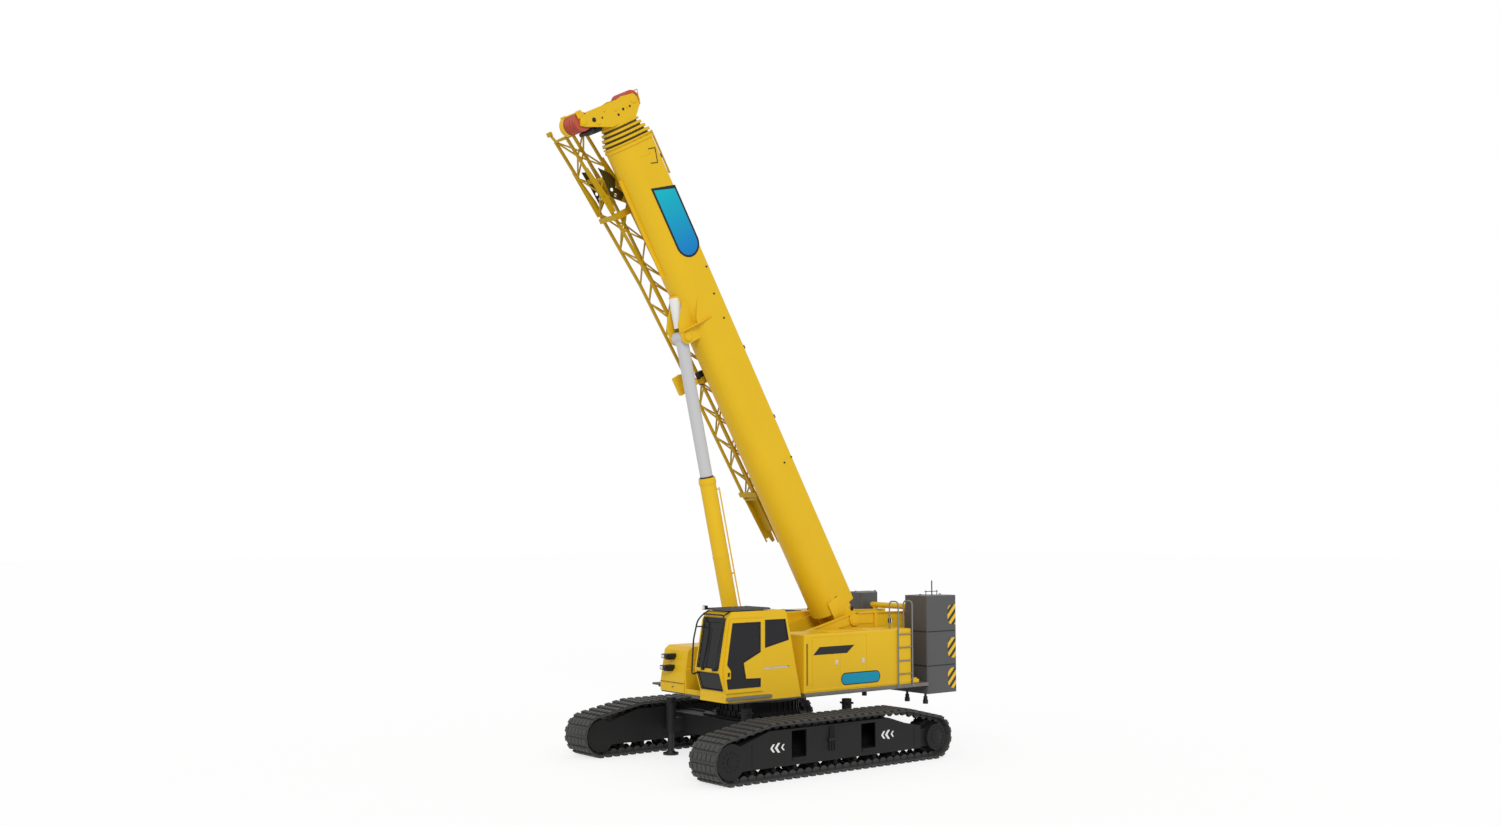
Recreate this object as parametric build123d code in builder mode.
"""Telescopic crawler crane: two tracks, a slewing upper with cab and counterweight,
a five-part telescopic boom with its lift cylinder, and a lattice fly jib stowed on
the boom's right side.

Millimetres.  +Z is up, the machine's front is -Y, its left side (the cab) is +X.
The origin lies on the ground under the centre of the slewing ring.
"""
from build123d import *
import math
import os

os.makedirs("parts", exist_ok=True)


def save(piece, node):
    """Label one finished piece and write it as the node's STEP file."""
    piece.label = node
    export_step(piece, f"parts/{node}.step")


SIDES = (("left", 1), ("right", -1))

# ---------------------------------------------------------------- driving sizes
FIT = 0.3            # gap between pieces that rest on each other
PIN_GAP = 0.05       # radial clearance of a pin in its bore

# tracks
HALF_GAUGE = 2340    # centre of the machine to the centre of a track
SHOE_WIDTH = 860
BELT_RADIUS = 480    # lug tips round the idler and the sprocket
BELT_THICK = 100
LUG_HEIGHT = 28
SHOE_PITCH = 214
IDLER_Y = -2880
SPROCKET_Y = 2840
TOP_RUN_Z = 1165
BEND_RADIUS = 900    # bend of the top run over its end slides
FRONT_BEND_Y = -1750
REAR_BEND_Y = 1900

# track frames
FRAME_WIDTH = 700
FRAME_WALL = 30
FRAME_LOW_Z = 270
FRAME_TOP_Z = 1000
ROLLER_RADIUS = 100
ROLLER_WIDTH = 180
ROLLERS = 8
ROLLER_STEP = 560

# car body
BEAM_Y = 900
BEAM_DEPTH = 460
BEAM_LOW_Z = 470
BEAM_TOP_Z = 960
JACK_X = 1360
JACK_Y = 1430
JACK_RADIUS = 95
JACK_TOP_Z = 1290
FLOAT_RADIUS = 175
FLOAT_LOW_Z = 15
RING_RADIUS = 880
DECK_Z = 1420        # underside of the slewing upper

# turntable
PLATE_X = 500        # inner face of each main plate
PLATE_THICK = 40
FLOOR_THICK = 30
WALK_Z = 1510        # top of the side deck
HALF_WIDTH = 1500    # half width of the upper
TAIL_Y = 4850
WEIGHT_Y = 3860      # front face of the counterweight

# boom
FOOT_Y = 2400
FOOT_Z = 2980
BOOM_ANGLE = 60
BOOM_WIDTH = 800
BOOM_TOP = 377       # top plate above the line through the foot pin
BOOM_LENGTH = 12030  # foot pin to the end of the base section
BOOM_START = 330
SECTION_STEP = 30    # each inner section is smaller by this all round
SECTION_WALL = 10
BASE_WALL = 12
SECTIONS = 4
COLLAR_STEP = 100
FOOT_PIN_RADIUS = 90

# lift cylinder
LIFT_S = 7700        # upper pin of the lift cylinder, along the boom
LIFT_N = -830        # and below the boom's foot line
LIFT_FOOT_Y = -460
LIFT_FOOT_Z = 1800
BARREL_RADIUS = 180
BARREL_LENGTH = 4500
ROD_RADIUS = 140
ROD_LENGTH = 4400
LIFT_PIN_RADIUS = 70

# ---------------------------------------------------------------- boom axes
COS_B = math.cos(math.radians(BOOM_ANGLE))
SIN_B = math.sin(math.radians(BOOM_ANGLE))


def boom_point(x, s, n):
    """A point x to the left, s along the boom and n above its foot-pin line."""
    return Vector(x, FOOT_Y - s * COS_B + n * SIN_B, FOOT_Z + s * SIN_B + n * COS_B)


def boom_plane(s):
    """The section plane at s along the boom: local x is +X, local y is n."""
    return Plane(origin=boom_point(0, s, 0), x_dir=(1, 0, 0), z_dir=(0, -COS_B, SIN_B))


def boom_side(x):
    """A plane parallel to the boom's sides: local x is s, local y is n, and it faces -X."""
    return Plane(origin=boom_point(x, 0, 0), x_dir=(0, -COS_B, SIN_B), z_dir=(-1, 0, 0))


# ---------------------------------------------------------------- track loop
# circles the belt runs round, front to back under the machine and home over the top
BELT_CIRCLES = (
    (IDLER_Y, BELT_RADIUS, BELT_RADIUS),
    (SPROCKET_Y, BELT_RADIUS, BELT_RADIUS),
    (REAR_BEND_Y, TOP_RUN_Z - BEND_RADIUS, BEND_RADIUS),
    (FRONT_BEND_Y, TOP_RUN_Z - BEND_RADIUS, BEND_RADIUS),
)


def belt_runs():
    """Lines and arcs of the lug-tip loop, as (length, point at a distance along it)."""
    runs = []
    touches = []
    count = len(BELT_CIRCLES)
    for i in range(count):
        y1, z1, r1 = BELT_CIRCLES[i]
        y2, z2, r2 = BELT_CIRCLES[(i + 1) % count]
        gap = math.hypot(y2 - y1, z2 - z1)
        uy, uz = (y2 - y1) / gap, (z2 - z1) / gap
        along = (r1 - r2) / gap
        across = math.sqrt(1 - along * along)
        ny, nz = uy * along + uz * across, uz * along - uy * across
        touches.append(((y1 + r1 * ny, z1 + r1 * nz), (y2 + r2 * ny, z2 + r2 * nz), (ny, nz)))
    for i in range(count):
        start, end, normal = touches[i]
        runs.append(("line", math.dist(start, end), start, end, normal))
        y2, z2, r2 = BELT_CIRCLES[(i + 1) % count]
        turn_in = math.atan2(normal[1], normal[0])
        following = touches[(i + 1) % count][2]
        turn = (math.atan2(following[1], following[0]) - turn_in) % (2 * math.pi)
        runs.append(("arc", r2 * turn, (y2, z2), turn_in, r2))
    return runs


def belt_point(runs, along, depth):
    """The point at a distance along the loop, depth inside the lug tips."""
    for kind, length, first, second, third in runs:
        if along <= length:
            break
        along -= length
    if kind == "line":
        share = along / length
        y = first[0] + (second[0] - first[0]) * share - depth * third[0]
        z = first[1] + (second[1] - first[1]) * share - depth * third[1]
        return (y, z)
    angle = second + along / third
    return (first[0] + (third - depth) * math.cos(angle), first[1] + (third - depth) * math.sin(angle))


RUNS = belt_runs()
LOOP = sum(run[1] for run in RUNS)
SHOES = round(LOOP / SHOE_PITCH)
PITCH = LOOP / SHOES
SHOE_GAP = 24
SHOE_START = (RUNS[0][1] % PITCH) / 2

for side, sign in SIDES:
    outline = []
    inside = []
    for shoe in range(SHOES):
        start = (SHOE_START + shoe * PITCH) % LOOP
        for share, depth in ((0, LUG_HEIGHT * 2), (SHOE_GAP, LUG_HEIGHT), (SHOE_GAP * 2, 0),
                             (PITCH - SHOE_GAP * 2, 0), (PITCH - SHOE_GAP, LUG_HEIGHT)):
            outline.append(belt_point(RUNS, (start + share) % LOOP, depth))
        inside.append(belt_point(RUNS, start, BELT_THICK))
    with BuildPart() as track:
        with BuildSketch(Plane.YZ.offset(sign * HALF_GAUGE - SHOE_WIDTH / 2)):
            with BuildLine():
                Polyline(*outline, close=True)
            make_face()
            with BuildLine():
                Polyline(*inside, close=True)
            make_face(mode=Mode.SUBTRACT)
        extrude(amount=SHOE_WIDTH)
    save(track.part, f"track_{side}")


# ---------------------------------------------------------------- track frames
FRAME_REAR_Y = 2400
NOSE_Y = -2610
# windows in the outer plate: rear end, front end, low edge, top edge
WINDOWS = ((-910, -1310, 420, 960), (1045, 625, 420, 940))
IDLER_RADIUS = BELT_RADIUS - BELT_THICK - 12   # the belt's inside is made of flats
NOSE_RADIUS = IDLER_RADIUS - 12
ROLLER_FIRST_Y = -2220
RIB_Y = -217         # middle of the ribbed bracket on the outer plate
TEETH = 18
ROLLER_Z = BELT_THICK + ROLLER_RADIUS + FIT
ROLLER_AXLE = 30
SADDLE_BELOW = 45     # below the axle's middle
CARRIER_Z = 380       # cross wall inside the frame that the saddles hang from
SLIDE_TOP_Z = TOP_RUN_Z - BELT_THICK - FIT


def frame_outline(grow):
    """Side view of a track frame; grow is how far the walls are moved outwards."""
    with BuildLine() as line:
        Polyline(
            (NOSE_Y, FRAME_LOW_Z - grow), (FRAME_REAR_Y + grow, FRAME_LOW_Z - grow),
            (FRAME_REAR_Y + grow, 760 + grow), (1900 + grow, 860 + grow),
            (1450 + grow / 2, FRAME_TOP_Z + grow), (-1900 - grow / 2, FRAME_TOP_Z + grow),
            (NOSE_Y, 780 + grow), close=True)
    return line.line


for side, sign in SIDES:
    mid = sign * HALF_GAUGE
    outer = sign * (HALF_GAUGE + FRAME_WIDTH / 2)
    with BuildPart() as track_frame:
        with BuildSketch(Plane.YZ.offset(mid - FRAME_WIDTH / 2)):
            with BuildLine():
                add(frame_outline(0))
            make_face()
        extrude(amount=FRAME_WIDTH)
        # hollow box beam, open below
        with BuildSketch(Plane.YZ.offset(mid - FRAME_WIDTH / 2 + FRAME_WALL)):
            with BuildLine():
                add(frame_outline(-FRAME_WALL))
            make_face()
            with Locations(((NOSE_Y + FRAME_REAR_Y) / 2 - FRAME_WALL, FRAME_LOW_Z)):
                Rectangle(FRAME_REAR_Y - NOSE_Y, 2 * FRAME_WALL + 2)
        extrude(amount=FRAME_WIDTH - 2 * FRAME_WALL, mode=Mode.SUBTRACT)
        # nose plates either side of the idler
        for x in (mid - FRAME_WIDTH / 2, mid + FRAME_WIDTH / 2 - FRAME_WALL):
            with BuildSketch(Plane.YZ.offset(x)):
                with Locations((IDLER_Y, BELT_RADIUS)):
                    Circle(NOSE_RADIUS)
                with BuildLine():
                    Polyline((IDLER_Y, FRAME_LOW_Z), (NOSE_Y, FRAME_LOW_Z), (NOSE_Y, 780),
                             (IDLER_Y + 60, BELT_RADIUS + NOSE_RADIUS - 90),
                             (IDLER_Y, BELT_RADIUS), close=True)
                make_face()
            extrude(amount=FRAME_WALL)
        # windows in the outer plate
        for rear, front, low, top in WINDOWS:
            with BuildSketch(Plane.YZ.offset(outer - sign * FRAME_WALL * 1.5)):
                with Locations(((rear + front) / 2, (low + top) / 2)):
                    Rectangle(rear - front, top - low)
            extrude(amount=sign * FRAME_WALL * 2, mode=Mode.SUBTRACT)
        # ledges under the windows and the ribbed bracket between them
        for rear, front, low, top in WINDOWS:
            with BuildSketch(Plane.YZ.offset(outer)):
                with Locations(((rear + front) / 2, low - 35)):
                    Rectangle(rear - front - 60, 50)
            extrude(amount=sign * 18)
        for y in (RIB_Y - 70, RIB_Y, RIB_Y + 70):
            with BuildSketch(Plane.YZ.offset(outer)):
                with BuildLine():
                    Polyline((y - 15, 470), (y + 15, 470), (y + 15 + (RIB_Y - y) / 3, 960),
                             (y - 15 + (RIB_Y - y) / 3, 960), close=True)
                make_face()
            extrude(amount=sign * 40)
        with BuildSketch(Plane.YZ.offset(outer)):
            with Locations((RIB_Y, 700)):
                Rectangle(240, 60)
        extrude(amount=sign * 50)
        # saddles that carry the roller axles
        for number in range(ROLLERS):
            for x in (mid - 190, mid + 160):
                with BuildSketch(Plane.YZ.offset(x)):
                    with Locations((ROLLER_FIRST_Y + number * ROLLER_STEP, (ROLLER_Z - SADDLE_BELOW + CARRIER_Z) / 2)):
                        Rectangle(100, CARRIER_Z - ROLLER_Z + SADDLE_BELOW)
                    with Locations((ROLLER_FIRST_Y + number * ROLLER_STEP, ROLLER_Z)):
                        Circle(ROLLER_AXLE + PIN_GAP, mode=Mode.SUBTRACT)
                extrude(amount=FRAME_WALL)
        # cross wall that the saddles hang from
        with BuildSketch(Plane.XY.offset(CARRIER_Z)):
            with Locations((mid, (NOSE_Y + FRAME_REAR_Y) / 2)):
                Rectangle(FRAME_WIDTH - 2 * FRAME_WALL, FRAME_REAR_Y - NOSE_Y - 2 * FRAME_WALL - 200)
        extrude(amount=20)
        # slides that carry the top run
        for y in (-1500, 200, 1300):
            with BuildSketch(Plane.XY.offset(FRAME_TOP_Z)):
                with Locations((mid, y)):
                    Rectangle(160, 340)
            extrude(amount=SLIDE_TOP_Z - FRAME_TOP_Z)
    save(track_frame.part, f"track_frame_{side}")

    with BuildPart() as rollers:
        for number in range(ROLLERS):
            y = ROLLER_FIRST_Y + number * ROLLER_STEP
            with BuildSketch(Plane.YZ.offset(mid - ROLLER_WIDTH / 2)):
                with Locations((y, ROLLER_Z)):
                    Circle(ROLLER_RADIUS)
            extrude(amount=ROLLER_WIDTH)
            with BuildSketch(Plane.YZ.offset(mid - 200)):
                with Locations((y, ROLLER_Z)):
                    Circle(ROLLER_AXLE)
            extrude(amount=400)

    with BuildPart() as idler:
        with BuildSketch(Plane.YZ.offset(mid - 180)):
            with Locations((IDLER_Y, BELT_RADIUS)):
                Circle(IDLER_RADIUS)
        extrude(amount=360)
        for x in (mid - 180, mid + 180 - 70):
            with BuildSketch(Plane.YZ.offset(x)):
                with Locations((IDLER_Y, BELT_RADIUS)):
                    Circle(IDLER_RADIUS - 60)
                    Circle(150, mode=Mode.SUBTRACT)
            extrude(amount=70, mode=Mode.SUBTRACT)
        with BuildSketch(Plane.YZ.offset(mid - FRAME_WIDTH / 2 + FRAME_WALL + FIT)):
            with Locations((IDLER_Y, BELT_RADIUS)):
                Circle(70)
        extrude(amount=FRAME_WIDTH - 2 * FRAME_WALL - 2 * FIT)
    save(rollers.part + idler.part, f"track_rollers_{side}")

    with BuildPart() as sprocket:
        with BuildSketch(Plane.YZ.offset(mid - 150)):
            with Locations((SPROCKET_Y, BELT_RADIUS)):
                Circle(IDLER_RADIUS)
                with PolarLocations(IDLER_RADIUS, TEETH):
                    Circle(26, mode=Mode.SUBTRACT)
        extrude(amount=300)
        # final drive drum, between the frame's end and the outer cover
        with BuildSketch(Plane.YZ.offset(mid + sign * 150)):
            with Locations((SPROCKET_Y, BELT_RADIUS)):
                Circle(285)
        extrude(amount=sign * 255)
        # bearing housing back to the frame's end wall
        with BuildSketch(Plane.YZ.offset(mid + sign * 230)):
            with Locations(((FRAME_REAR_Y + FRAME_WALL + SPROCKET_Y) / 2 - 15 + FIT / 2, BELT_RADIUS)):
                Rectangle(SPROCKET_Y - FRAME_REAR_Y - FRAME_WALL + 30 - FIT, 380)
        extrude(amount=sign * 80)
    save(sprocket.part, f"drive_sprocket_{side}")

# ---------------------------------------------------------------- car body
BODY_HALF_X = 980
BODY_HALF_Y = 1000
JACK_LOW_Z = 520
FRAME_INNER_X = HALF_GAUGE - FRAME_WIDTH / 2

with BuildPart() as car_body:
    with BuildSketch(Plane.XY.offset(BEAM_LOW_Z)):
        Rectangle(2 * BODY_HALF_X, 2 * BODY_HALF_Y)
        chamfer(vertices(), 260)
    extrude(amount=BEAM_TOP_Z - BEAM_LOW_Z)
    for y in (-BEAM_Y, BEAM_Y):
        with BuildSketch(Plane.XY.offset(BEAM_LOW_Z + 20)):
            with Locations((0, y)):
                Rectangle(2 * (FRAME_INNER_X - FIT), BEAM_DEPTH)
        extrude(amount=BEAM_TOP_Z - BEAM_LOW_Z - 60)
    with BuildSketch(Plane.XY.offset(BEAM_TOP_Z)):
        Circle(RING_RADIUS + 40)
    extrude(amount=120)
    # jack arms and housings at the four corners
    for x in (-JACK_X, JACK_X):
        for y in (-JACK_Y, JACK_Y):
            with BuildSketch(Plane.XY.offset(BEAM_LOW_Z + 60)):
                with Locations((x, (y + math.copysign(BEAM_Y, y)) / 2)):
                    Rectangle(240, JACK_Y - BEAM_Y)
            extrude(amount=300)
            with BuildSketch(Plane.XY.offset(JACK_LOW_Z)):
                with Locations((x, y)):
                    Circle(JACK_RADIUS + 15)
            extrude(amount=JACK_TOP_Z - JACK_LOW_Z)
            with BuildSketch(Plane.XY.offset(JACK_TOP_Z - 110)):
                with Locations((x, y)):
                    Rectangle(260, 180)
            extrude(amount=40)
            with BuildSketch(Plane.XY.offset(JACK_LOW_Z)):
                with Locations((x, y)):
                    Circle(JACK_RADIUS - 20)
            extrude(amount=JACK_TOP_Z - JACK_LOW_Z - 25, mode=Mode.SUBTRACT)
save(car_body.part, "car_body")

RING_LOW_Z = BEAM_TOP_Z + 120
with BuildPart() as slew_ring:
    with BuildSketch(Plane.XY.offset(RING_LOW_Z)):
        Circle(RING_RADIUS)
        with PolarLocations(RING_RADIUS, 36):
            Rectangle(60, 40)
        Circle(RING_RADIUS - 130, mode=Mode.SUBTRACT)
    extrude(amount=200)
save(slew_ring.part, "slew_ring")

# jack rods with their floats
ROD_IN_JACK = JACK_RADIUS - 20 - PIN_GAP
for end, y in (("front", -JACK_Y), ("rear", JACK_Y)):
    for side, sign in SIDES:
        with BuildPart() as jack:
            with BuildSketch(Plane.XY.offset(FLOAT_LOW_Z)):
                with Locations((sign * JACK_X, y)):
                    Circle(FLOAT_RADIUS)
            extrude(amount=45)
            with BuildSketch(Plane.XY.offset(FLOAT_LOW_Z + 45)):
                with Locations((sign * JACK_X, y)):
                    Circle(110)
            extrude(amount=40, taper=25)
            with BuildSketch(Plane.XY.offset(FLOAT_LOW_Z + 85)):
                with Locations((sign * JACK_X, y)):
                    Circle(ROD_IN_JACK)
            extrude(amount=800)
        save(jack.part, f"jack_{end}_{side}")

# ---------------------------------------------------------------- turntable
RING_TOP_Z = RING_LOW_Z + 200
FLOOR_TOP_Z = DECK_Z + FLOOR_THICK
FRONT_Y = -1650
PLATE_REAR_Y = 4440
WEIGHT_LOW_Z = 1225
SLAB_1_Z = 1870      # joint between the base slab and the lower side slabs
SLAB_2_Z = 2660
WEIGHT_TOP_Z = 3490
WEIGHT_IN_X = 740
CLEVIS_X = 260       # inner face of the lift cylinder's foot brackets
CAB_IN_X = 570
CAB_OUT_X = HALF_WIDTH - 60
PLATE_OUT_X = PLATE_X + PLATE_THICK
# top edge of a main plate, front to rear
PLATE_EDGE = ((FRONT_Y, 1960), (-900, 2170), (570, 2675), (1741, 2955), (2340, 3113),
              (3100, 3120), (4040, 3100), (PLATE_REAR_Y, 3100))
FLANGE_OUT = 60
FLANGE_IN_FRONT = 24
# name, y, z, drum radius, flange radius
WINCHES = (("main", 3400, 2530, 200, 320), ("auxiliary", 4060, 2590, 160, 240))
WINCH_AXLE = 60
WINCH_HOLE = (3600, 2890)
TUBE_Y, TUBE_Z, TUBE_RADIUS = 4120, 3200, 70

with BuildPart() as floor:
    with BuildSketch(Plane.XY.offset(DECK_Z)):
        with Locations((0, (FRONT_Y + WEIGHT_Y - FIT) / 2)):
            Rectangle(2 * (PLATE_OUT_X + 10), WEIGHT_Y - FIT - FRONT_Y)
        # arms under the cab and the front box
        with Locations((CAB_OUT_X / 2, -920)):
            Rectangle(CAB_OUT_X, 1900)
        with Locations((-HALF_WIDTH / 2, -830)):
            Rectangle(HALF_WIDTH - 20, 1540)
    extrude(amount=FLOOR_THICK)
    # upper half of the slewing ring
    with BuildSketch(Plane.XY.offset(RING_TOP_Z + FIT)):
        Circle(RING_RADIUS - 20)
    extrude(amount=DECK_Z - RING_TOP_Z - FIT)
save(floor.part, "turntable_floor")

for side, sign in SIDES:
    inner = sign * PLATE_X
    outer = sign * PLATE_OUT_X
    with BuildPart() as plate:
        with BuildSketch(Plane.YZ.offset(inner)):
            with BuildLine():
                Polyline((FRONT_Y, FLOOR_TOP_Z + FIT), (WEIGHT_Y - FIT, FLOOR_TOP_Z + FIT),
                         (WEIGHT_Y - FIT, SLAB_1_Z + FIT), (PLATE_REAR_Y, SLAB_1_Z + FIT),
                         *reversed(PLATE_EDGE), close=True)
            make_face()
            with Locations((FOOT_Y, FOOT_Z)):
                Circle(FOOT_PIN_RADIUS + PIN_GAP, mode=Mode.SUBTRACT)
            for winch, y, z, drum_radius, flange_radius in WINCHES:
                with Locations((y, z)):
                    Circle(WINCH_AXLE + PIN_GAP, mode=Mode.SUBTRACT)
            # round hole above the winches
            with Locations(WINCH_HOLE):
                Circle(90, mode=Mode.SUBTRACT)
        extrude(amount=sign * PLATE_THICK)
        # flange along the top edge, narrower beside the cab
        for edge, width in ((PLATE_EDGE[:3], FLANGE_IN_FRONT), (PLATE_EDGE[2:], FLANGE_OUT)):
            with BuildSketch(Plane.YZ.offset(outer)):
                with BuildLine():
                    Polyline(*edge, *[(y, z - 22) for y, z in reversed(edge)], close=True)
                make_face()
            extrude(amount=sign * width)
        # strip and box that stiffen the plate beside the boom's foot
        with BuildSketch(Plane.YZ.offset(outer)):
            with BuildLine():
                Polyline((570, 2655), (1741, 2935), (2340, 3093), (3020, 3098), (3020, 2860),
                         (2340, 2860), (1741, 2730), (570, 2440), close=True)
            make_face()
            with Locations((FOOT_Y, FOOT_Z)):
                Circle(FOOT_PIN_RADIUS + PIN_GAP, mode=Mode.SUBTRACT)
        extrude(amount=sign * 25)
        with BuildSketch(Plane.YZ.offset(outer)):
            with Locations((3080, 2890)):
                Rectangle(90, 420)
        extrude(amount=sign * 55)
    save(plate.part, f"main_plate_{side}")

# foot brackets of the lift cylinder on a common base
with BuildPart() as bracket:
    with BuildSketch(Plane.XY.offset(FLOOR_TOP_Z + FIT)):
        with Locations((0, LIFT_FOOT_Y)):
            Rectangle(2 * PLATE_X - 2 * FIT, 700)
    extrude(amount=15)
    for x in (CLEVIS_X, -CLEVIS_X - 60):
        with BuildSketch(Plane.YZ.offset(x)):
            with BuildLine():
                Polyline((LIFT_FOOT_Y - 330, FLOOR_TOP_Z + 5), (LIFT_FOOT_Y + 330, FLOOR_TOP_Z + 5),
                         (LIFT_FOOT_Y + 130, LIFT_FOOT_Z + 60), (LIFT_FOOT_Y - 130, LIFT_FOOT_Z + 60), close=True)
            make_face()
            with Locations((LIFT_FOOT_Y, LIFT_FOOT_Z)):
                Circle(150)
                Circle(LIFT_PIN_RADIUS, mode=Mode.SUBTRACT)
        extrude(amount=60)
save(bracket.part, "cylinder_bracket")

with BuildPart() as cross_walls:
    for y, top in ((FRONT_Y + 40, 1560), (2950, 2060)):
        with BuildSketch(Plane.XZ.offset(-y)):
            with Locations((0, (FLOOR_TOP_Z + FIT + top) / 2)):
                Rectangle(2 * PLATE_X - 2 * FIT, top - FLOOR_TOP_Z - FIT)
        extrude(amount=30)
    # tube across the tail, over the auxiliary winch
    with BuildSketch(Plane.YZ.offset(-PLATE_OUT_X - 90)):
        with Locations((TUBE_Y, TUBE_Z)):
            Circle(TUBE_RADIUS)
    extrude(amount=2 * (PLATE_OUT_X + 90))
    for x in (-PLATE_OUT_X, PLATE_X):
        with BuildSketch(Plane.YZ.offset(x)):
            with Locations((TUBE_Y, (TUBE_Z + 3100 + FIT) / 2)):
                Rectangle(120, TUBE_Z - 3100 - FIT)
        extrude(amount=PLATE_THICK)
save(cross_walls.part, "cross_members")

# side decks
with BuildPart() as decks:
    for side, sign in SIDES:
        with BuildSketch(Plane.XY.offset(DECK_Z)):
            with Locations((sign * (PLATE_OUT_X + 10 + FIT + HALF_WIDTH) / 2, (60 + WEIGHT_Y - FIT) / 2)):
                Rectangle(HALF_WIDTH - PLATE_OUT_X - 10 - FIT, WEIGHT_Y - FIT - 60)
        extrude(amount=WALK_Z - DECK_Z)
save(decks.part, "side_decks")

# ---------------------------------------------------------------- hoods
HOOD_IN_X = PLATE_OUT_X + FLANGE_OUT + 5
HOOD_FRONT_Y = 70
HOOD_REAR_Y = 3340
HOOD_TOP_Z = 2770
HOOD_WALL = 30
RIGHT_FRONT_Y = 450  # the right hood starts behind the stowed jib
RIGHT_TOP_Z = 3120
HOOD_MID_X = (HOOD_IN_X + HALF_WIDTH) / 2
SEAMS_Y = (300, 1110, 1910)

with BuildPart() as hood_left:
    with BuildSketch(Plane.XY.offset(WALK_Z + FIT)):
        with Locations((HOOD_MID_X, (HOOD_FRONT_Y + HOOD_REAR_Y) / 2)):
            Rectangle(HALF_WIDTH - HOOD_IN_X, HOOD_REAR_Y - HOOD_FRONT_Y)
    extrude(amount=HOOD_TOP_Z - WALK_Z)
    fillet(edges().filter_by(Axis.Z), 40)
    fillet(faces().sort_by(Axis.Z)[-1].edges(), 35)
    offset(amount=-HOOD_WALL, openings=faces().sort_by(Axis.Z)[0])
    # door seams and the slot behind the cab
    with BuildSketch(Plane.YZ.offset(HALF_WIDTH - 6)):
        for y in SEAMS_Y:
            with Locations((y, (WALK_Z + HOOD_TOP_Z) / 2)):
                Rectangle(9, HOOD_TOP_Z - WALK_Z - 130)
        with Locations(((SEAMS_Y[0] + SEAMS_Y[2]) / 2, HOOD_TOP_Z - 70)):
            Rectangle(SEAMS_Y[2] - SEAMS_Y[0], 9)
    extrude(amount=10, mode=Mode.SUBTRACT)
    with BuildSketch(Plane.YZ.offset(HALF_WIDTH - 2 * HOOD_WALL)):
        with Locations((HOOD_FRONT_Y + 80, 2120)):
            Rectangle(45, 900)
    extrude(amount=3 * HOOD_WALL, mode=Mode.SUBTRACT)
save(hood_left.part, "hood_left")

with BuildPart() as hood_right:
    with BuildSketch(Plane.XY.offset(WALK_Z + FIT)):
        with Locations((-HOOD_MID_X, (RIGHT_FRONT_Y + HOOD_REAR_Y) / 2)):
            Rectangle(HALF_WIDTH - HOOD_IN_X, HOOD_REAR_Y - RIGHT_FRONT_Y)
    extrude(amount=RIGHT_TOP_Z - WALK_Z)
    fillet(edges().filter_by(Axis.Z), 40)
    fillet(faces().sort_by(Axis.Z)[-1].edges(), 35)
    offset(amount=-HOOD_WALL, openings=faces().sort_by(Axis.Z)[0])
    with BuildSketch(Plane.YZ.offset(-HALF_WIDTH - 4)):
        for y in (1170, 1890, 2610):
            with Locations((y, (WALK_Z + RIGHT_TOP_Z) / 2)):
                Rectangle(9, RIGHT_TOP_Z - WALK_Z - 150)
    extrude(amount=10, mode=Mode.SUBTRACT)
save(hood_right.part, "hood_right")

with BuildPart() as power_pack:
    with BuildSketch(Plane.XY.offset(WALK_Z + FIT)):
        with Locations((-HOOD_MID_X, 1900)):
            Rectangle(HALF_WIDTH - HOOD_IN_X - 2 * HOOD_WALL - 140, 1700)
    extrude(amount=1150)
save(power_pack.part, "power_pack")

# box at the right front corner
BOX_FRONT_Y = -1620
BOX_REAR_Y = -60
BOX_IN_X = PLATE_OUT_X + FLANGE_OUT + 5
BOX_TOP_Z = 2450
BOX_SILL = 210       # upright edge under the sloped face
LAMPS_Z = (BOX_TOP_Z - 465, BOX_TOP_Z - 215)
with BuildPart() as front_box:
    with BuildSketch(Plane.YZ.offset(-HALF_WIDTH)):
        with BuildLine():
            Polyline((BOX_FRONT_Y, FLOOR_TOP_Z + FIT), (BOX_REAR_Y, FLOOR_TOP_Z + FIT), (BOX_REAR_Y, BOX_TOP_Z),
                     (BOX_FRONT_Y + 230, BOX_TOP_Z), (BOX_FRONT_Y + 110, BOX_TOP_Z - 90),
                     (BOX_FRONT_Y, FLOOR_TOP_Z + BOX_SILL), close=True)
        make_face()
    extrude(amount=HALF_WIDTH - BOX_IN_X)
    with BuildSketch(Plane.XZ.offset(-BOX_FRONT_Y + 20)):
        for z in LAMPS_Z:
            with Locations((-1180, z)):
                Rectangle(110, 95)
    extrude(amount=-200)
save(front_box.part, "front_box")

# ---------------------------------------------------------------- cab
CAB_SKIN = 50
CAB_LOW_Z = FLOOR_TOP_Z + FIT
SILL_Z = 1640
CAB_TOP_Z = 3330
DOOR_FRONT_Y = -2010
DOOR_REAR_Y = -1070
DOOR_GAP = 6
DOOR_LOW_Z = 1650
DOOR_TOP_Z = 3180
CREASE_Z = 2110
RAIL_Z = 2110
RAIL_HEIGHT = 44
RAIL_DEPTH = 30
RAIL_REAR_Y = -310
# side view of the cab, outside and inside of its skin, from the front sill round by the rear
CAB_OUTSIDE = ((-2060, CAB_LOW_Z), (20, CAB_LOW_Z), (-257, 2690), (-396, CAB_TOP_Z - 50),
               (-450, CAB_TOP_Z), (-1880, CAB_TOP_Z), (-2010, 3150), (-2200, CREASE_Z), (-2050, SILL_Z))
CAB_INSIDE = ((-2010, CAB_LOW_Z + 50), (-40, CAB_LOW_Z + 50), (-307, 2690), (-440, CAB_TOP_Z - 70),
              (-470, CAB_TOP_Z - 50), (-1850, CAB_TOP_Z - 50), (-1960, 3140), (-2150, CREASE_Z), (-2003, SILL_Z))
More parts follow.
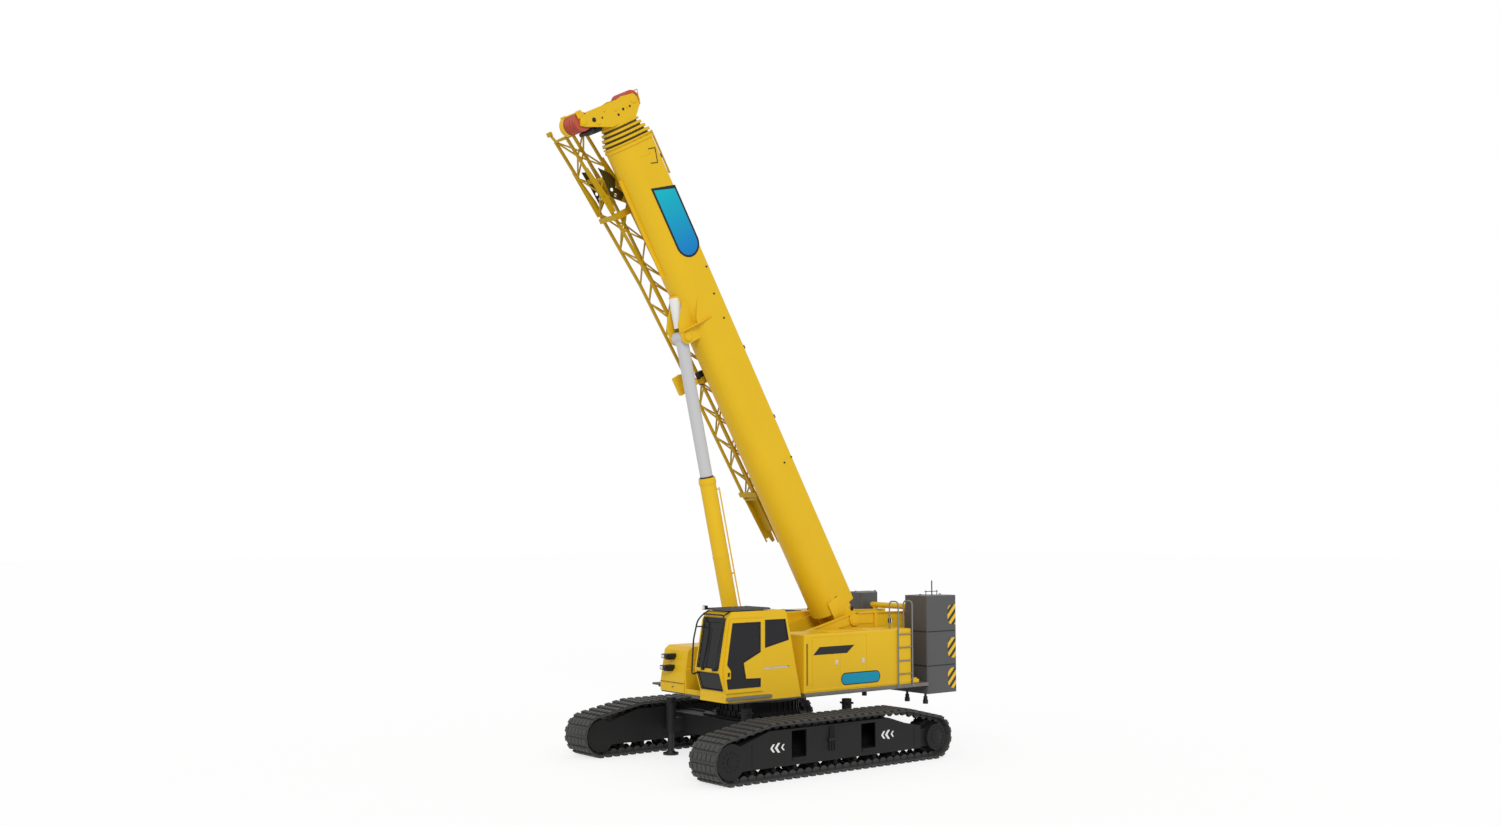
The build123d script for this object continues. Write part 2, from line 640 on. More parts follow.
# walls between the two sides: name, first corner, last corner
CAB_WALLS = (("cab_floor", 0, 1), ("cab_rear", 1, 4), ("cab_roof", 4, 5), ("cab_front", 5, 9))
WALL_IN_X = CAB_IN_X + CAB_SKIN + FIT
WALL_OUT_X = CAB_OUT_X - CAB_SKIN - FIT
SCREEN_TOP_Z = 3110
SCREEN_LOW_Z = 2160
LOWER_TOP_Z = 2060
LOWER_LOW_Z = 1700
GLASS_THICK = 8


def shrink(points, gap):
    """Pull the ends of a run of points back by a gap, so that neighbours only just meet."""
    points = [Vector(*point) for point in points]
    points[0] += (points[1] - points[0]).normalized() * gap
    points[-1] += (points[-2] - points[-1]).normalized() * gap
    return points


def front_pane(low, high, depth, thick):
    """Corners of a pane that follows the cab's front between two heights, depth inside the skin."""
    line = (Vector(-2010, 3150), Vector(-2200, CREASE_Z), Vector(-2050, SILL_Z))
    top, bottom = (line[0], line[1]) if low > CREASE_Z else (line[1], line[2])
    run = (top - bottom).normalized()
    inwards = Vector(run.Y, -run.X)
    at = [bottom + (top - bottom) * ((z - bottom.Y) / (top.Y - bottom.Y)) for z in (low, high)]
    near = [point + inwards * depth for point in at]
    far = [point + inwards * (depth + thick) for point in at]
    return [(point.X, point.Y) for point in (near[0], near[1], far[1], far[0])]


for node, first, last in CAB_WALLS:
    outside = shrink([CAB_OUTSIDE[i % 9] for i in range(first, last + 1)], FIT)
    inside = shrink([CAB_INSIDE[i % 9] for i in range(first, last + 1)], FIT)
    with BuildPart() as wall:
        with BuildSketch(Plane.YZ.offset(WALL_IN_X)):
            with BuildLine():
                Polyline(*[(point.X, point.Y) for point in outside],
                         *[(point.X, point.Y) for point in reversed(inside)], close=True)
            make_face()
        extrude(amount=WALL_OUT_X - WALL_IN_X)
        if node == "cab_front":
            with BuildSketch(Plane.XZ.offset(1700)):
                with Locations(((WALL_IN_X + WALL_OUT_X) / 2, (SCREEN_LOW_Z + SCREEN_TOP_Z) / 2)):
                    Rectangle(WALL_OUT_X - WALL_IN_X - 30, SCREEN_TOP_Z - SCREEN_LOW_Z)
                with Locations(((WALL_IN_X + WALL_OUT_X) / 2, (LOWER_LOW_Z + LOWER_TOP_Z) / 2)):
                    Rectangle(WALL_OUT_X - WALL_IN_X - 30, LOWER_TOP_Z - LOWER_LOW_Z)
            extrude(amount=600, mode=Mode.SUBTRACT)
        if node == "cab_rear":
            with BuildSketch(Plane.XZ.offset(500)):
                with Locations(((WALL_IN_X + WALL_OUT_X) / 2, 2960)):
                    Rectangle(WALL_OUT_X - WALL_IN_X - 140, 420)
            extrude(amount=-400, mode=Mode.SUBTRACT)
    save(wall.part, node)

REAR_WINDOW = ((-985, 3130), (-985, 2540), (-325, 2680), (-420, 3130))
INNER_WINDOW = ((-2060, 2200), (-1070, 2200), (-1070, 3130), (-1900, 3130))
DOORWAY = ((DOOR_FRONT_Y + 40, DOOR_LOW_Z + 30), (DOOR_REAR_Y - 30, DOOR_LOW_Z + 30),
           (DOOR_REAR_Y - 30, DOOR_TOP_Z - 40), (DOOR_FRONT_Y + 130, DOOR_TOP_Z - 40), (DOOR_FRONT_Y + 20, CREASE_Z))
for node, x, windows in (("cab_side_outer", CAB_OUT_X - CAB_SKIN, (REAR_WINDOW, DOORWAY)),
                         ("cab_side_inner", CAB_IN_X, (REAR_WINDOW, INNER_WINDOW))):
    with BuildPart() as wall:
        with BuildSketch(Plane.YZ.offset(x)):
            with BuildLine():
                Polyline(*CAB_OUTSIDE, close=True)
            make_face()
            for window in windows:
                with BuildLine():
                    Polyline(*window, close=True)
                make_face(mode=Mode.SUBTRACT)
        extrude(amount=CAB_SKIN)
        if node == "cab_side_outer":
            # rail let into the side behind the door
            with BuildSketch(Plane.YZ.offset(CAB_OUT_X - RAIL_DEPTH)):
                with Locations(((DOOR_REAR_Y - 40 + RAIL_REAR_Y) / 2, RAIL_Z)):
                    Rectangle(RAIL_REAR_Y - DOOR_REAR_Y + 40, RAIL_HEIGHT)
            extrude(amount=RAIL_DEPTH + 1, mode=Mode.SUBTRACT)
    save(wall.part, node)

# fixed panes
with BuildPart() as glass:
    for x, window in ((CAB_OUT_X - CAB_SKIN + 20, REAR_WINDOW), (CAB_IN_X + 20, REAR_WINDOW),
                      (CAB_IN_X + 20, INNER_WINDOW)):
        with BuildSketch(Plane.YZ.offset(x)):
            with BuildLine():
                Polyline(*window, close=True)
            make_face()
            offset(amount=-FIT, kind=Kind.INTERSECTION)
        extrude(amount=GLASS_THICK)
    for low, high in ((SCREEN_LOW_Z, SCREEN_TOP_Z), (LOWER_LOW_Z, LOWER_TOP_Z)):
        with BuildSketch(Plane.YZ.offset(WALL_IN_X + 15 + FIT)):
            with BuildLine():
                Polyline(*front_pane(low + 9, high - 9, 15, GLASS_THICK), close=True)
            make_face()
        extrude(amount=WALL_OUT_X - WALL_IN_X - 30 - 2 * FIT)
save(glass.part, "cab_glass")

DOOR_PANE = ((-2020, 1740), (-1150, 1740), (-1150, 1915), (-1545, 1925), (-1610, 2265), (-1150, 2470),
             (-1150, 3095), (-1900, 3095), (-2040, 2240), (-1940, 2120), (-1940, 1945), (-2050, 1940))
DOOR_OUTLINE = ((DOOR_FRONT_Y - 45, DOOR_LOW_Z), (DOOR_REAR_Y, DOOR_LOW_Z), (DOOR_REAR_Y, DOOR_TOP_Z),
                (DOOR_FRONT_Y + 60, DOOR_TOP_Z), (DOOR_FRONT_Y - 110, 2180), (DOOR_FRONT_Y - 105, 2000))
with BuildPart() as cab_door:
    with BuildSketch(Plane.YZ.offset(CAB_OUT_X + DOOR_GAP)):
        with BuildLine():
            Polyline(*DOOR_OUTLINE, close=True)
        make_face()
        with BuildLine():
            Polyline(*DOOR_PANE, close=True)
        make_face(mode=Mode.SUBTRACT)
    extrude(amount=40)
    # shoe that runs in the rail
    with BuildSketch(Plane.YZ.offset(CAB_OUT_X - RAIL_DEPTH + FIT)):
        with Locations((DOOR_REAR_Y - 13, RAIL_Z)):
            Rectangle(24, RAIL_HEIGHT - 2 * FIT)
    extrude(amount=RAIL_DEPTH + DOOR_GAP)
    # handle
    with BuildSketch(Plane.YZ.offset(CAB_OUT_X + DOOR_GAP + 40)):
        with Locations((-2020, 2045)):
            Rectangle(60, 90)
    extrude(amount=22)
save(cab_door.part, "cab_door")

with BuildPart() as door_glass:
    with BuildSketch(Plane.YZ.offset(CAB_OUT_X + DOOR_GAP + 16)):
        with BuildLine():
            Polyline(*DOOR_PANE, close=True)
        make_face()
        offset(amount=-FIT, kind=Kind.INTERSECTION)
    extrude(amount=GLASS_THICK)
save(door_glass.part, "door_glass")

GUARD_Z = CAB_TOP_Z + 20
with BuildPart() as guard:
    with BuildSketch(Plane.XY.offset(GUARD_Z)):
        with Locations(((CAB_IN_X + CAB_OUT_X) / 2, -1390)):
            Rectangle(CAB_OUT_X - CAB_IN_X - 20, 1120)
    extrude(amount=30)
    for x in (CAB_IN_X + 90, CAB_OUT_X - 90):
        for y in (-1750, -1000):
            with BuildSketch(Plane.XY.offset(CAB_TOP_Z + FIT)):
                with Locations((x, y)):
                    Rectangle(50, 50)
            extrude(amount=GUARD_Z + FIT - CAB_TOP_Z)
save(guard.part, "roof_guard")

SEAT_X = (CAB_IN_X + CAB_OUT_X) / 2
SEAT_WIDTH = CAB_OUT_X - CAB_IN_X - 350
CONSOLE_WIDTH = 90
CONSOLE_GAP = 15     # between the console and the cab's inner wall
with BuildPart() as seat:
    with BuildSketch(Plane.XY.offset(CAB_LOW_Z + CAB_SKIN + FIT)):
        with Locations((SEAT_X, -950)):
            Rectangle(SEAT_WIDTH - 100, 420)
    extrude(amount=350)
    with BuildSketch(Plane.XY.offset(CAB_LOW_Z + CAB_SKIN + 350)):
        with Locations((SEAT_X, -980)):
            Rectangle(SEAT_WIDTH, 520)
    extrude(amount=130)
    with BuildSketch(Plane.XY.offset(CAB_LOW_Z + CAB_SKIN + 350)):
        with Locations((SEAT_X, -680)):
            Rectangle(SEAT_WIDTH - 20, 120)
    extrude(amount=900)
save(seat.part, "operator_seat")

with BuildPart() as console:
    with BuildSketch(Plane.XY.offset(CAB_LOW_Z + CAB_SKIN + FIT)):
        with Locations((WALL_IN_X + CONSOLE_GAP + CONSOLE_WIDTH / 2, -1000)):
            Rectangle(CONSOLE_WIDTH, 600)
    extrude(amount=620)
save(console.part, "control_console")

# ---------------------------------------------------------------- counterweight
with BuildPart() as weight_base:
    with BuildSketch(Plane.XY.offset(WEIGHT_LOW_Z)):
        with Locations((0, (WEIGHT_Y + TAIL_Y) / 2)):
            Rectangle(2 * HALF_WIDTH, TAIL_Y - WEIGHT_Y)
            fillet(vertices(), 60)
    extrude(amount=SLAB_1_Z - WEIGHT_LOW_Z)
save(weight_base.part, "counterweight_base")

# inner rear corners of the side slabs are cut off
CORNER_X = 510
CORNER_Y = 450
for side, sign in SIDES:
    for layer, low, top in (("lower", SLAB_1_Z + FIT, SLAB_2_Z), ("upper", SLAB_2_Z + FIT, WEIGHT_TOP_Z)):
        with BuildPart() as slab:
            with BuildSketch(Plane.XY.offset(low)):
                with BuildLine():
                    Polyline((sign * WEIGHT_IN_X, WEIGHT_Y), (sign * HALF_WIDTH, WEIGHT_Y),
                             (sign * HALF_WIDTH, TAIL_Y), (sign * (WEIGHT_IN_X + CORNER_X), TAIL_Y),
                             (sign * WEIGHT_IN_X, TAIL_Y - CORNER_Y), close=True)
                make_face()
                fillet(vertices(), 60)
            extrude(amount=top - low)
        save(slab.part, f"counterweight_{layer}_{side}")

# cylinders that lift the counterweight, hung under its front edge
LIFTER_LOW_Z = 990
with BuildPart() as lifters:
    for x in (-1340, -WEIGHT_IN_X, WEIGHT_IN_X, 1340):
        for low, high, radius in ((LIFTER_LOW_Z, LIFTER_LOW_Z + 90, 62), (LIFTER_LOW_Z + 90, LIFTER_LOW_Z + 170, 48),
                                  (LIFTER_LOW_Z + 170, WEIGHT_LOW_Z - FIT, 30)):
            with BuildSketch(Plane.XY.offset(low)):
                with Locations((x, WEIGHT_Y + 80)):
                    Circle(radius)
            extrude(amount=high - low)
save(lifters.part, "counterweight_lifters")

# sensor mast on the left stack
MAST_X, MAST_Y = 1100, 4430
with BuildPart() as mast:
    with BuildSketch(Plane.XY.offset(WEIGHT_TOP_Z + FIT)):
        with Locations((MAST_X, MAST_Y)):
            Circle(14)
        with Locations((MAST_X, MAST_Y - 200), (MAST_X, MAST_Y + 170)):
            Circle(9)
    extrude(amount=110)
    with BuildSketch(Plane.XY.offset(WEIGHT_TOP_Z + 75)):
        with Locations((MAST_X, MAST_Y - 20)):
            Rectangle(18, 440)
    extrude(amount=16)
    with BuildSketch(Plane.XY.offset(WEIGHT_TOP_Z + FIT)):
        with Locations((MAST_X, MAST_Y)):
            Circle(14)
    extrude(amount=340)
save(mast.part, "sensor_mast")

# ---------------------------------------------------------------- ladder
LADDER_YS = (2880, 3330)
LADDER_X = HALF_WIDTH + 35
RAIL_RADIUS = 17
HOOP_TOP_Z = 3395
HOOP_IN_X = 1250
with BuildPart() as ladder:
    for y in LADDER_YS:
        with BuildLine() as path:
            FilletPolyline((LADDER_X, y, WALK_Z + FIT - 40), (LADDER_X, y, HOOP_TOP_Z),
                           (HOOP_IN_X, y, HOOP_TOP_Z), (HOOP_IN_X, y, HOOD_TOP_Z + FIT), radius=90)
        with BuildSketch(Plane(origin=path.line @ 0, z_dir=path.line % 0)):
            Circle(RAIL_RADIUS)
        sweep(path=path.line)
    for step in range(4):
        with BuildSketch(Plane.XZ.offset(-LADDER_YS[0])):
            with Locations((LADDER_X, 1750 + 300 * step)):
                Circle(12)
        extrude(amount=LADDER_YS[0] - LADDER_YS[1])
    # feet on the deck's edge
    with BuildSketch(Plane.XY.offset(WALK_Z - 60)):
        with Locations((HALF_WIDTH + FIT + 30, LADDER_YS[0]), (HALF_WIDTH + FIT + 30, LADDER_YS[1])):
            Rectangle(60, 70)
    extrude(amount=50)
save(ladder.part, "ladder")

# ---------------------------------------------------------------- winches
for winch, y, z, drum_radius, flange_radius in WINCHES:
    with BuildPart() as drum:
        with BuildSketch(Plane.YZ.offset(-PLATE_X + 40)):
            with Locations((y, z)):
                Circle(drum_radius)
        extrude(amount=2 * (PLATE_X - 40))
        for x in (-PLATE_X + 40, PLATE_X - 70):
            with BuildSketch(Plane.YZ.offset(x)):
                with Locations((y, z)):
                    Circle(flange_radius)
            extrude(amount=30)
        with BuildSketch(Plane.YZ.offset(-PLATE_OUT_X)):
            with Locations((y, z)):
                Circle(WINCH_AXLE)
        extrude(amount=2 * PLATE_OUT_X)
    save(drum.part, f"{winch}_winch_drum")

# ---------------------------------------------------------------- boom sections
BOOM_CENTRE = -183   # centre of the round belly
COLLAR_GROW = 22
MOUTH = 90           # length of the ring that a section slides in
SLIDE_GAP = 0.5


def boom_section(inset):
    """Outline of a section: flat top and sides over a round belly."""
    half = BOOM_WIDTH / 2 - inset
    top = BOOM_TOP - inset
    bend = 60
    with BuildLine() as line:
        Line((half, BOOM_CENTRE), (half, top - bend))
        RadiusArc((half, top - bend), (half - bend, top), -bend)
        Line((half - bend, top), (bend - half, top))
        RadiusArc((bend - half, top), (-half, top - bend), -bend)
        Line((-half, top - bend), (-half, BOOM_CENTRE))
        RadiusArc((-half, BOOM_CENTRE), (half, BOOM_CENTRE), -half)
    return line.line


# side view of the lift bracket's cheeks: leaf-shaped, down to the pin
LIFT_LEAF = ((LIFT_S - 170, -420), (LIFT_S - 150, LIFT_N), (LIFT_S, LIFT_N - 140), (LIFT_S + 180, LIFT_N - 120),
             (LIFT_S + 340, LIFT_N - 80), (LIFT_S + 620, LIFT_N + 180), (LIFT_S + 860, -420))
STRUT_RADIUS = 120
STRUT_LENGTH = 700
LIFT_CHEEK_X = 190
LIFT_CHEEK = 50
with BuildPart() as boom_base:
    with BuildSketch(boom_plane(BOOM_START)):
        with BuildLine():
            add(boom_section(0))
        make_face()
    extrude(amount=BOOM_LENGTH - BOOM_START)
    # collar at the mouth
    with BuildSketch(boom_plane(BOOM_LENGTH - 120)):
        with BuildLine():
            add(boom_section(-COLLAR_GROW))
        make_face()
    extrude(amount=55)
    with BuildSketch(boom_plane(BOOM_LENGTH - 30)):
        with BuildLine():
            add(boom_section(-COLLAR_GROW))
        make_face()
    extrude(amount=30)
    # foot cheeks round the pin, with their outer bosses
    for x in (-BOOM_WIDTH / 2 + 70, BOOM_WIDTH / 2):
        with BuildSketch(boom_side(x)):
            Circle(270)
            with Locations((350, -40)):
                Rectangle(700, 460)
        extrude(amount=70)
    for x in (PLATE_X - 6, -BOOM_WIDTH / 2):
        with BuildSketch(boom_side(x)):
            Circle(170)
        extrude(amount=PLATE_X - 6 - BOOM_WIDTH / 2)
    # cheeks, flange and ribs of the lift bracket
    for x in (LIFT_CHEEK_X + LIFT_CHEEK, -LIFT_CHEEK_X):
        with BuildSketch(boom_side(x)):
            with BuildLine():
                Polyline(*LIFT_LEAF, close=True)
            make_face()
            with Locations((LIFT_S, LIFT_N)):
                Circle(150)
        extrude(amount=LIFT_CHEEK)
    with BuildSketch(boom_plane(LIFT_S + 160)):
        with BuildLine():
            Polyline((430, -150), (430, -430), (265, -960), (-265, -960), (-430, -430), (-430, -150), close=True)
        make_face()
        with Locations((0, -900)):
            Rectangle(2 * LIFT_CHEEK_X, 700, mode=Mode.SUBTRACT)
    extrude(amount=25)
    for x in (BOOM_WIDTH / 2, -BOOM_WIDTH / 2 + 25):
        with BuildSketch(boom_side(x)):
            with BuildLine():
                Polyline((LIFT_S + 170, -160), (LIFT_S + 170, -560), (LIFT_S + 300, -520), (LIFT_S + 700, -260),
                         (LIFT_S + 690, -200), close=True)
            make_face()
        extrude(amount=25)
    # round strut between the cheeks
    with BuildSketch(Plane(origin=boom_point(0, LIFT_S + 210, LIFT_N + 64), z_dir=(0, -0.2241, 0.9746))):
        Circle(STRUT_RADIUS)
    extrude(amount=STRUT_LENGTH)
    # fin under the belly and pads over the top edge
    with BuildSketch(boom_side(15)):
        with Locations((LIFT_S + 2480, -600)):
            Rectangle(2300, 110)
    extrude(amount=30)
    for s in (1900, 4300, 6700, 9100):
        with BuildSketch(boom_plane(s)):
            with Locations((250, BOOM_TOP + 12), (-250, BOOM_TOP + 12)):
                Rectangle(60, 30)
        extrude(amount=70)
    # hollow, and the mouth ring that the first section slides in
    with BuildSketch(boom_plane(BOOM_START + 25)):
        with BuildLine():
            add(boom_section(BASE_WALL))
        make_face()
    extrude(amount=BOOM_LENGTH - BOOM_START - 25 - MOUTH, mode=Mode.SUBTRACT)
    with BuildSketch(boom_plane(BOOM_LENGTH - MOUTH - 10)):
        with BuildLine():
            add(boom_section(SECTION_STEP - SLIDE_GAP))
        make_face()
    extrude(amount=MOUTH + 20, mode=Mode.SUBTRACT)
    # access holes at the foot
    for s, n, size in ((620, -100, 70), (185, 175, 85)):
        with BuildSketch(boom_side(BOOM_WIDTH / 2 + 1)):
            with Locations((s, n)):
                Rectangle(size, size * 1.3)
        extrude(amount=40, mode=Mode.SUBTRACT)
    # foot pin and the cylinder's upper pin
    with BuildSketch(boom_side(PLATE_OUT_X + 45)):
        Circle(FOOT_PIN_RADIUS)
    extrude(amount=2 * (PLATE_OUT_X + 45))
    with BuildSketch(boom_side(LIFT_CHEEK_X + LIFT_CHEEK + 15)):
        with Locations((LIFT_S, LIFT_N)):
            Circle(LIFT_PIN_RADIUS)
    extrude(amount=2 * (LIFT_CHEEK_X + LIFT_CHEEK + 15))
save(boom_base.part, "boom_base")

# rope guide rod along the top, near the mouth
with BuildPart() as guide:
    with BuildSketch(boom_plane(BOOM_LENGTH - 1000)):
        with Locations((300, BOOM_TOP + 85)):
            Circle(22)
    extrude(amount=1000)
    for s in (BOOM_LENGTH - 960, BOOM_LENGTH - 60):
        with BuildSketch(boom_plane(s)):
            with Locations((300, BOOM_TOP + COLLAR_GROW + FIT + 35)):
                Rectangle(40, 70)
            with Locations((300, BOOM_TOP + FIT + 40)):
                Rectangle(40, 80 if s < BOOM_LENGTH - 200 else 1)
        extrude(amount=25)
save(guide.part, "boom_guide_rod")

for number in range(1, SECTIONS + 1):
    inset = SECTION_STEP * number
    end = BOOM_LENGTH + COLLAR_STEP * number
    start = 900 + 60 * number
    with BuildPart() as section:
        with BuildSketch(boom_plane(start)):
            with BuildLine():
                add(boom_section(inset))
            make_face()
            with BuildLine():
                add(boom_section(inset + SECTION_WALL))
            make_face(mode=Mode.SUBTRACT)
        extrude(amount=end - start)
        # collar with its mouth ring
        with BuildSketch(boom_plane(end - COLLAR_STEP + 38)):
            with BuildLine():
                add(boom_section(inset - SECTION_STEP - COLLAR_GROW + 8 * number))
            make_face()
            with BuildLine():
                add(boom_section(inset + SECTION_STEP - SLIDE_GAP))
            make_face(mode=Mode.SUBTRACT)
        extrude(amount=COLLAR_STEP - 38)
    save(section.part, f"boom_section_{number + 1}")

# ---------------------------------------------------------------- boom head
HEAD_S = BOOM_LENGTH + COLLAR_STEP * SECTIONS + FIT
CHEEK_X = 300
CHEEK_THICK = 30
LOWER_SHEAVE = (HEAD_S + 360, -1060, 200)   # s, n, radius
UPPER_SHEAVE = (HEAD_S + 340, 350, 215)
SHEAVE_PIN = 60
# side view of a head cheek, s from the head's rear face
HEAD_OUTLINE = ((0, -440), (50, -570), (230, -1060), (300, -1180), (450, -1110), (500, -770), (480, -40), (500, 90),
                (460, 410), (360, 470), (180, 450), (0, 250))

with BuildPart() as boom_head:
    with BuildSketch(boom_plane(HEAD_S)):
        with BuildLine():
            add(boom_section(SECTION_STEP * SECTIONS))
        make_face()
    extrude(amount=40)
    for x in (CHEEK_X, -CHEEK_X + CHEEK_THICK):
        with BuildSketch(boom_side(x)):
            with BuildLine():
                Polyline(*[(HEAD_S + s, n) for s, n in HEAD_OUTLINE], close=True)
            make_face()
            for s, n, radius in (LOWER_SHEAVE, UPPER_SHEAVE):
                with Locations((s, n)):
                    Circle(SHEAVE_PIN + PIN_GAP, mode=Mode.SUBTRACT)
        extrude(amount=CHEEK_THICK)
    # cross plates between the cheeks
    for s, n, length in ((60, -300, 440), (300, -420, 40)):
        with BuildSketch(boom_side(CHEEK_X - CHEEK_THICK)):
            with Locations((HEAD_S + s, n)):
                Rectangle(40, length)
        extrude(amount=2 * (CHEEK_X - CHEEK_THICK))
    with BuildSketch(boom_side(CHEEK_X - CHEEK_THICK)):
        with Locations((HEAD_S + 460, -420)):
            Rectangle(30, 640)
    extrude(amount=2 * (CHEEK_X - CHEEK_THICK))
save(boom_head.part, "boom_head")

for name, (s, n, radius), count in (("lower", LOWER_SHEAVE, 5), ("upper", UPPER_SHEAVE, 5)):
    pitch = 2 * (CHEEK_X - CHEEK_THICK - 10) / count
    with BuildPart() as sheaves:
        with BuildSketch(boom_side(CHEEK_X)):
            with Locations((s, n)):
                Circle(SHEAVE_PIN)
        extrude(amount=2 * CHEEK_X)
        for number in range(count):
            x = pitch * (number + 0.5 - count / 2)
            with BuildSketch(boom_side(x + pitch / 2 - 8)):
                with Locations((s, n)):
                    Circle(radius)
            extrude(amount=pitch - 16)
    save(sheaves.part, f"{name}_sheaves")

# ---------------------------------------------------------------- lift cylinder
lift_top = boom_point(0, LIFT_S, LIFT_N)
lift_foot = Vector(0, LIFT_FOOT_Y, LIFT_FOOT_Z)
lift_line = (lift_top - lift_foot).normalized()
LIFT_SPAN = (lift_top - lift_foot).length


def lift_plane(distance):
    """A plane across the cylinder at a distance up from its foot pin; local y points to the rear."""
    return Plane(origin=lift_foot + lift_line * distance, x_dir=(1, 0, 0), z_dir=lift_line)


with BuildPart() as rod:
    with BuildSketch(lift_plane(LIFT_SPAN - ROD_LENGTH)):
        Circle(ROD_RADIUS)
    extrude(amount=ROD_LENGTH - 60)
    with BuildSketch(Plane.YZ.offset(-LIFT_CHEEK_X + 15)):
        with Locations((lift_top.Y, lift_top.Z)):
            Circle(145)
    extrude(amount=2 * (LIFT_CHEEK_X - 15))
    with BuildSketch(Plane.YZ.offset(-LIFT_CHEEK_X)):
        with Locations((lift_top.Y, lift_top.Z)):
            Circle(LIFT_PIN_RADIUS + PIN_GAP)
    extrude(amount=2 * LIFT_CHEEK_X, mode=Mode.SUBTRACT)
save(rod.part, "lift_rod")

with BuildPart() as barrel:
    with BuildSketch(lift_plane(60)):
        Circle(BARREL_RADIUS)
    extrude(amount=BARREL_LENGTH - 60)
    # gland
    with BuildSketch(lift_plane(BARREL_LENGTH - 150)):
        Circle(BARREL_RADIUS + 8)
    extrude(amount=150)
    with BuildSketch(Plane.YZ.offset(-200)):
        with Locations((LIFT_FOOT_Y, LIFT_FOOT_Z)):
            Circle(190)
    extrude(amount=400)
    with BuildSketch(Plane.YZ.offset(-CLEVIS_X + FIT)):
        with Locations((LIFT_FOOT_Y, LIFT_FOOT_Z)):
            Circle(LIFT_PIN_RADIUS)
    extrude(amount=2 * (CLEVIS_X - FIT))
    # pipe up its side
    with BuildSketch(lift_plane(700)):
        with Locations((155, 175)):
            Circle(16)
    extrude(amount=BARREL_LENGTH - 950)
    for distance in (720, 2300, BARREL_LENGTH - 300):
        with BuildSketch(lift_plane(distance)):
            with Locations((135, 150)):
                Rectangle(60, 70)
        extrude(amount=30)
    with BuildSketch(lift_plane(340)):
        Circle(ROD_RADIUS + 8)
    extrude(amount=BARREL_LENGTH - 340 - 60, mode=Mode.SUBTRACT)
    with BuildSketch(lift_plane(BARREL_LENGTH - 61)):
        Circle(ROD_RADIUS + PIN_GAP)
    extrude(amount=62, mode=Mode.SUBTRACT)
save(barrel.part, "lift_barrel")

# ---------------------------------------------------------------- stowed jib
JIB_TUBE = 55
JIB_LACE = 28
JIB_OUT_X = -1000
JIB_IN_X = -550
# s along the boom, n of the lower and upper chords, lacing bays to the next station
JIB_STATIONS = ((3390, -330, -50, 6), (5900, -410, -95, 7), (8980, -560, -220, 4), (10790, -770, -290, 4),
                (12600, -1050, -560, 0))


def jib_point(station, share, x, chord):
    """A point on a chord between two stations; chord 0 is the lower and 1 the upper."""
    first, second = JIB_STATIONS[station], JIB_STATIONS[min(station + 1, len(JIB_STATIONS) - 1)]
    s, *ns = [low + (high - low) * share for low, high in zip(first[:3], second[:3])]
    return boom_point(x, s, ns[chord])


def strut(start, end, size):
    """A square tube between two points."""
    run = end - start
    across = run.cross(Vector(1, 0, 0))
    if across.length < 1:
        across = boom_point(0, 1, 0) - boom_point(0, 0, 0)
    profile = Plane(origin=start, x_dir=across, z_dir=run) * Rectangle(size, size)
    return extrude(profile, amount=run.length)


CORNERS = ((JIB_OUT_X, 0), (JIB_IN_X, 0), (JIB_IN_X, 1), (JIB_OUT_X, 1))
tubes = []
for station, (s, low, high, bays) in enumerate(JIB_STATIONS[:-1]):
    for x, chord in CORNERS:
        tubes.append(strut(jib_point(station, 0, x, chord), jib_point(station, 1, x, chord), JIB_TUBE))
    for bay in range(bays):
        start, end = bay / bays, (bay + 1) / bays
        for face in range(4):
            first, second = CORNERS[face], CORNERS[(face + 1) % 4]
            if (bay + face) % 2:
                first, second = second, first
            tubes.append(strut(jib_point(station, start, *first), jib_point(station, end, *second), JIB_LACE))
# frames at both ends
for station, share in ((0, 0), (3, 1)):
    for face in range(4):
        first, second = CORNERS[face], CORNERS[(face + 1) % 4]
        tubes.append(strut(jib_point(station, share, *first), jib_point(station, share, *second), JIB_TUBE))

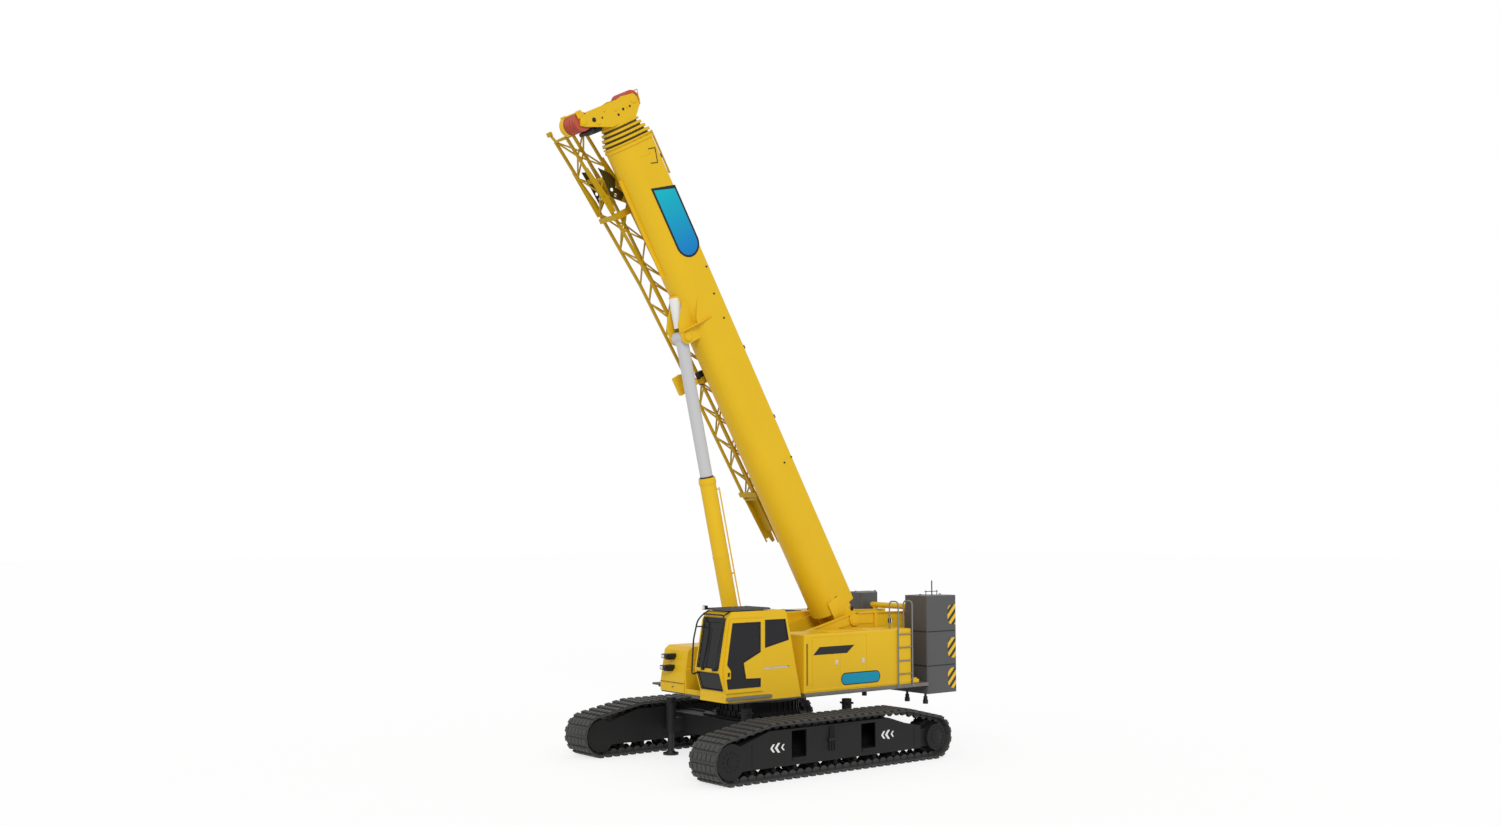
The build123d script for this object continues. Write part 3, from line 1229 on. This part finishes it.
# fork at the jib's foot
FORK_START, FORK_END = 2200, JIB_STATIONS[0][0]
with BuildPart() as fork:
    for x in (JIB_OUT_X + 25, JIB_IN_X):
        with BuildSketch(boom_side(x)):
            with BuildLine():
                Polyline((FORK_START, -290), (FORK_END, -360), (FORK_END, -20), (FORK_START - 80, -50),
                         (FORK_START - 80, -130), (FORK_START + 90, -170), close=True)
            make_face()
            with Locations((FORK_START + 60, -240)):
                Circle(28, mode=Mode.SUBTRACT)
        extrude(amount=25)
    with BuildSketch(boom_side(JIB_IN_X - 25)):
        with Locations((FORK_END - 480, -190)):
            Rectangle(900, 30)
    extrude(amount=JIB_IN_X - JIB_OUT_X - 50)
# drilled plates of its folding joint
with BuildPart() as joint:
    for x in (JIB_OUT_X - JIB_TUBE / 2 + 2, JIB_IN_X + JIB_TUBE / 2 + 13):
        for first, second, holes in (((10750, -760), (11850, -930), (10950, 11130)),
                                     ((10850, -300), (11900, -440), (11020, 11190))):
            with BuildSketch(boom_side(x)):
                with BuildLine():
                    Polyline((first[0], first[1] - 75), (second[0], second[1] - 35), (second[0], second[1] + 35),
                             (first[0] + 300, first[1] + 60), (first[0], first[1] + 75), close=True)
                make_face()
                for s in holes:
                    with Locations((s, first[1] + (second[1] - first[1]) * (s - first[0]) / (second[0] - first[0]))):
                        Circle(30, mode=Mode.SUBTRACT)
            extrude(amount=15)
save(tubes[0].fuse(*tubes[1:], fork.part, joint.part), "jib_lattice")

# brackets that carry the jib on the boom's right side
with BuildPart() as brackets:
    for station, share in ((0, 0.06), (1, 0.2), (2, 0.92)):
        first, second = JIB_STATIONS[station], JIB_STATIONS[station + 1]
        s = first[0] + (second[0] - first[0]) * share
        n_low = first[1] + (second[1] - first[1]) * share
        n_high = first[2] + (second[2] - first[2]) * share
        with BuildSketch(boom_side(-BOOM_WIDTH / 2 - FIT)):
            with Locations((s, (n_low + n_high) / 2 + 40)):
                Rectangle(150, n_high - n_low + 200)
        extrude(amount=22)
        for n in (n_low - JIB_TUBE / 2 - 34, n_high):
            with BuildSketch(boom_side(-BOOM_WIDTH / 2 - FIT - 15)):
                with Locations((s, n)):
                    Rectangle(110, 50)
            extrude(amount=-JIB_IN_X - BOOM_WIDTH / 2 - FIT - 15 - JIB_TUBE / 2 - FIT if n == n_high
                    else -JIB_OUT_X - BOOM_WIDTH / 2 + 20)
save(brackets.part, "jib_brackets")
